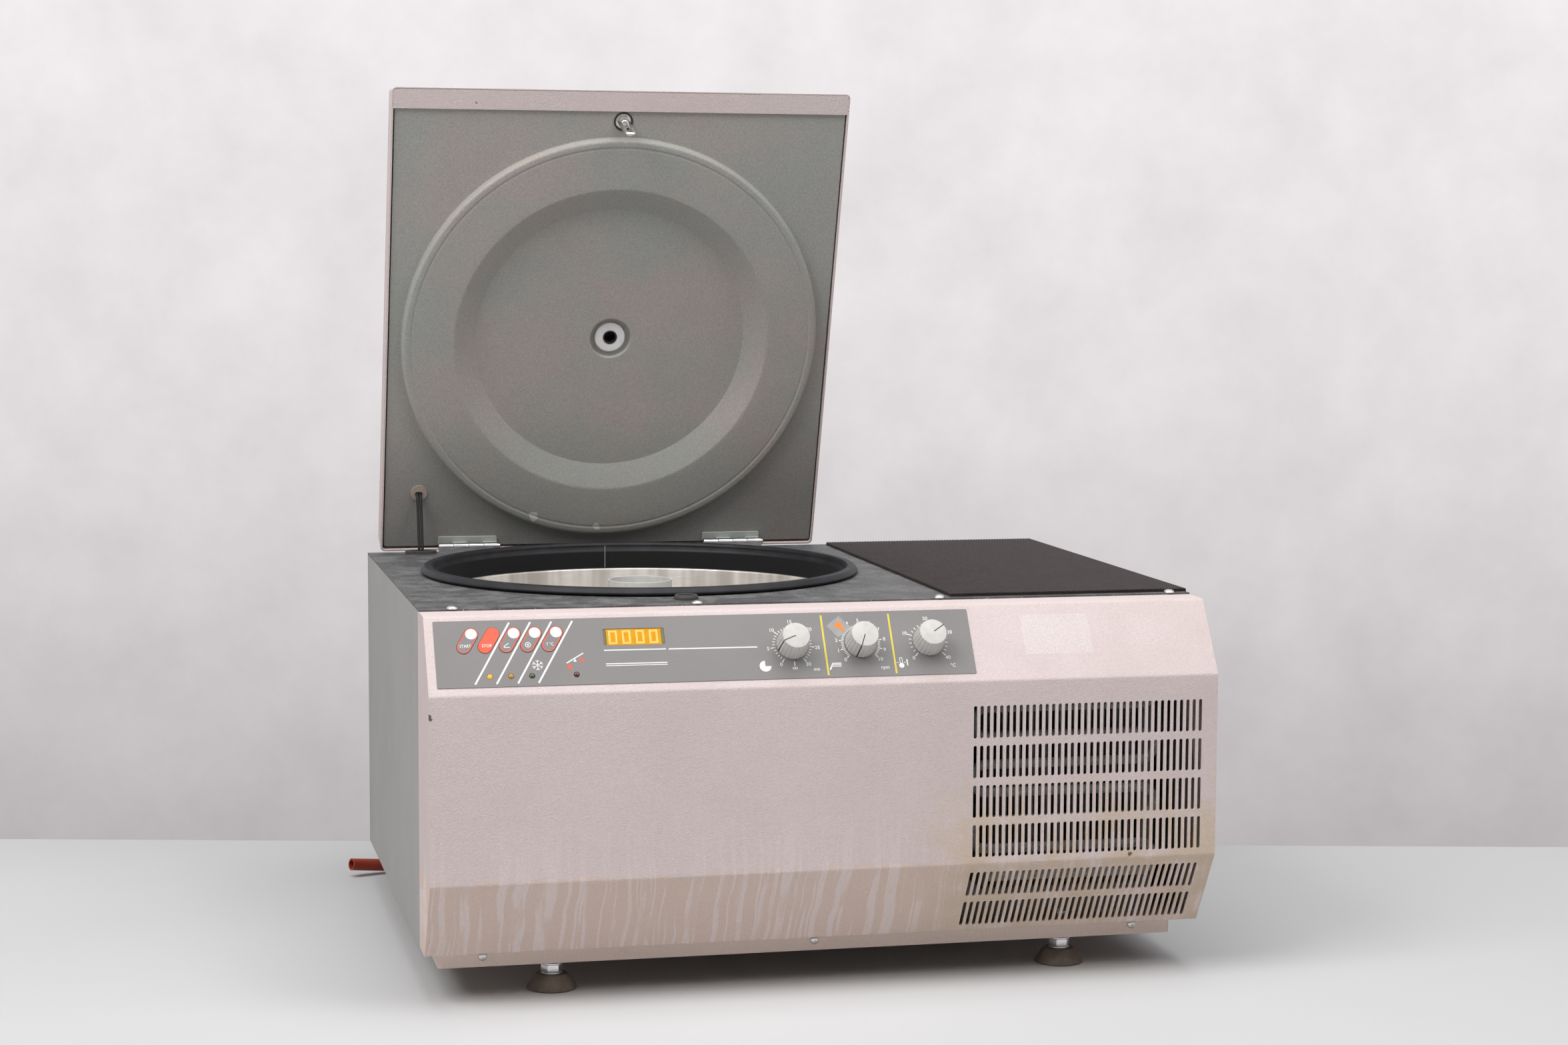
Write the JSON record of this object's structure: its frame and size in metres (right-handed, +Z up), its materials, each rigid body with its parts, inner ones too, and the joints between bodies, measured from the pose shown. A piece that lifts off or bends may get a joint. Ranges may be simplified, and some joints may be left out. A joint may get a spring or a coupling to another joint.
{
  "type": "refrigerated centrifuge",
  "caption": "Bench refrigerated centrifuge: folded steel cabinet, round bowl, hinged lid standing open, sloping controls with knobs, slotted grille",
  "frame": {"origin": "on the floor, under the middle of the whole machine with its lid open", "axes": "+Z up, +X to the operator's right, +Y to the rear, operator at -Y"},
  "size_m": [0.7481, 0.6263, 0.8428],
  "materials": {
    "taupe_paint": "matt textured taupe paint, lightly stained",
    "grey_paint": "matt textured dark grey paint",
    "overlay_film": null,
    "cream_knob": "fluted warm light grey moulding with a dark pointer",
    "white_key": "white dot in a coral ring",
    "orange_key": "solid coral orange",
    "amber_window": "amber filter over a lit number display",
    "lamp_resin": "coloured resin domes",
    "board": "green circuit board",
    "black_rubber": "matt black rubber",
    "bowl_steel": "spun stainless steel, lightly marked",
    "frosted_plastic": "cloudy translucent plastic",
    "white_plastic": "white moulding",
    "bright_steel": "bright turned steel",
    "hinge_chrome": "chromed steel, leaf painted grey",
    "zinc_plate": "zinc plated sheet",
    "motor_paint": "black enamel",
    "foam": "rigid insulating foam",
    "fin_aluminium": "thin pressed fins",
    "tube_paint": "dark painted tube",
    "fan_plastic": "black moulding",
    "inlet_plastic": "black moulding",
    "hose_rubber": "red brown rubber",
    "cord_braid": "black elastic cord"
  },
  "bodies": {
    "cabinet": {"base_tray": "taupe_paint", "bowl": "bowl_steel", "bowl_seal": "black_rubber", "cabinet_hinge_leaves": "hinge_chrome", "case_screws": "bright_steel", "chamber_insulation": "foam", "chamber_shelf": "zinc_plate", "check_cord": "cord_braid", "compressor": "motor_paint", "condenser_fins": "fin_aluminium", "condenser_tube": "tube_paint", "control_board": "board", "control_overlay": "overlay_film", "cord_grommet": "black_rubber", "cord_retractor": "inlet_plastic", "display_window": "amber_window", "drain_elbow": "inlet_plastic", "drain_hose": "hose_rubber", "fan_motor": "motor_paint", "fan_shroud": "zinc_plate", "foot_pads": "black_rubber", "foot_studs": "bright_steel", "front_panel": "taupe_paint", "hinge_pins": "bright_steel", "indicator_lamps": "lamp_resin", "latch_bracket": "zinc_plate", "latch_grommet": "black_rubber", "latch_solenoid": "motor_paint", "left_side_panel": "grey_paint", "mains_inlet": "inlet_plastic", "motor_housing": "motor_paint", "motor_mounts": "black_rubber", "partition": "zinc_plate", "rear_panel": "grey_paint", "right_side_panel": "grey_paint", "rubber_mat": "black_rubber", "spindle_boot": "black_rubber", "spindle_sleeve": "frosted_plastic", "top_plate": "grey_paint"},
    "lid": {"lid_shell": "taupe_paint", "lid_liner": "grey_paint", "lid_insulation": "foam", "port_bush": "white_plastic", "port_window": "frosted_plastic", "striker_eye": "bright_steel", "striker_nuts": "bright_steel", "striker_plate": "zinc_plate", "lid_hinge_leaves": "hinge_chrome", "cord_anchor": "zinc_plate"},
    "time_knob": {"time_knob": "cream_knob"},
    "speed_knob": {"speed_knob": "cream_knob"},
    "temperature_knob": {"temperature_knob": "cream_knob"},
    "start_key": {"start_key": "white_key"},
    "stop_key": {"stop_key": "orange_key"},
    "lid_key": {"lid_key": "white_key"},
    "brake_key": {"brake_key": "white_key"},
    "cooling_key": {"cooling_key": "white_key"},
    "spindle": {"drive_spindle": "bright_steel"},
    "condenser_fan": {"fan": "fan_plastic"},
    "latch": {"latch_pawl": "zinc_plate"}
  },
  "joints": [
    {"name": "lid_hinge", "type": "hinge", "parent": "cabinet", "child": "lid", "pos_m": [-0.114, 0.27025, 0.3575], "axis": [1, 0, 0], "range_deg": [0, 71.8], "deforming": ["check_cord"]},
    {"name": "spindle_spin", "type": "hinge", "parent": "cabinet", "child": "spindle", "pos_m": [-0.114, 0.04125, 0.25], "axis": [0, 0, 1], "continuous": true},
    {"name": "fan_spin", "type": "hinge", "parent": "cabinet", "child": "condenser_fan", "pos_m": [0.225, -0.20175, 0.191], "axis": [0, -1, 0], "continuous": true},
    {"name": "latch_turn", "type": "hinge", "parent": "cabinet", "child": "latch", "pos_m": [-0.114, -0.21425, 0.308], "axis": [-1, 0, 0], "range_deg": [0, 16], "stiffness_Nm_per_rad": 0.05},
    {"name": "time_knob_turn", "type": "hinge", "parent": "cabinet", "child": "time_knob", "pos_m": [-0.0352, -0.28816, 0.3204], "axis": [0, 0.836, -0.5488], "range_deg": [-40, 285]},
    {"name": "speed_knob_turn", "type": "hinge", "parent": "cabinet", "child": "speed_knob", "pos_m": [0.0285, -0.28816, 0.3204], "axis": [0, 0.836, -0.5488], "range_deg": [0, 308]},
    {"name": "temperature_knob_turn", "type": "hinge", "parent": "cabinet", "child": "temperature_knob", "pos_m": [0.0922, -0.28816, 0.3204], "axis": [0, 0.836, -0.5488], "range_deg": [-207, 93]},
    {"name": "start_key_press", "type": "slide", "parent": "cabinet", "child": "start_key", "axis": [0, 0.836, -0.5488], "range_m": [0, 0.0004], "stiffness_N_per_m": 400},
    {"name": "stop_key_press", "type": "slide", "parent": "cabinet", "child": "stop_key", "axis": [0, 0.836, -0.5488], "range_m": [0, 0.0004], "stiffness_N_per_m": 400},
    {"name": "lid_key_press", "type": "slide", "parent": "cabinet", "child": "lid_key", "axis": [0, 0.836, -0.5488], "range_m": [0, 0.0004], "stiffness_N_per_m": 400},
    {"name": "brake_key_press", "type": "slide", "parent": "cabinet", "child": "brake_key", "axis": [0, 0.836, -0.5488], "range_m": [0, 0.0004], "stiffness_N_per_m": 400},
    {"name": "cooling_key_press", "type": "slide", "parent": "cabinet", "child": "cooling_key", "axis": [0, 0.836, -0.5488], "range_m": [0, 0.0004], "stiffness_N_per_m": 400}
  ]
}
